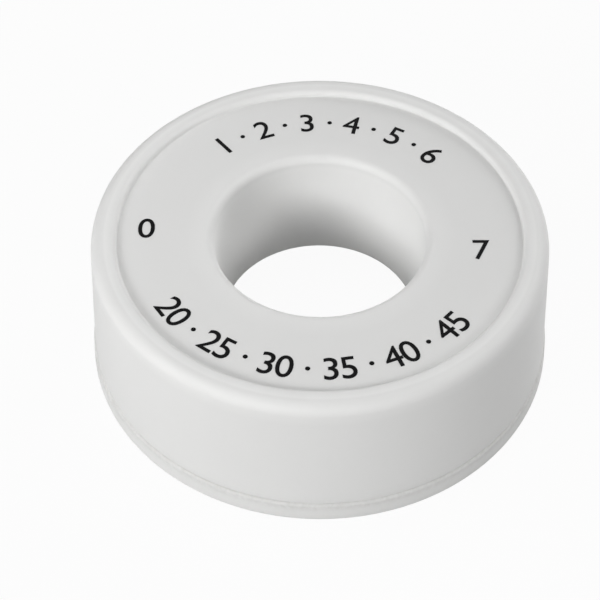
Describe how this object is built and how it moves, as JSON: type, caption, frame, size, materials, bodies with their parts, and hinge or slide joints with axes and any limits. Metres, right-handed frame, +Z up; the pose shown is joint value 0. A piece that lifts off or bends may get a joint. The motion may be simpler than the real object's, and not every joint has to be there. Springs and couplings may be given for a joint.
{
  "type": "thread seal tape roll",
  "caption": "Round white plastic roll of thread seal film: a lift-off cover over a wound spool that turns on a standing base, with an open bore through the middle.",
  "frame": {"origin": "centre of the ring-shaped face that the roll stands on", "axes": "+Z up along the bore, from the foot to the rim; X and Y are equivalent, and the picture looks along +Y"},
  "size_m": [0.055, 0.055, 0.0187],
  "materials": {
    "cover_plastic": "moulded polypropylene, satin",
    "base_plastic": "moulded polypropylene, satin",
    "spool_plastic": "moulded polypropylene, satin",
    "seal_film": "wound unsintered film, soft and waxy"
  },
  "bodies": {
    "base": {"base": "base_plastic"},
    "cover": {"cover": "cover_plastic"},
    "spool": {"spool": "spool_plastic", "tape_winding": "seal_film"}
  },
  "joints": [
    {"name": "cover_lift", "type": "slide", "parent": "base", "child": "cover", "axis": [0, 0, 1], "range_m": [0, 0.025]},
    {"name": "spool_turn", "type": "hinge", "parent": "base", "child": "spool", "pos_m": [0, 0, 0], "axis": [0, 0, 1], "continuous": true}
  ]
}
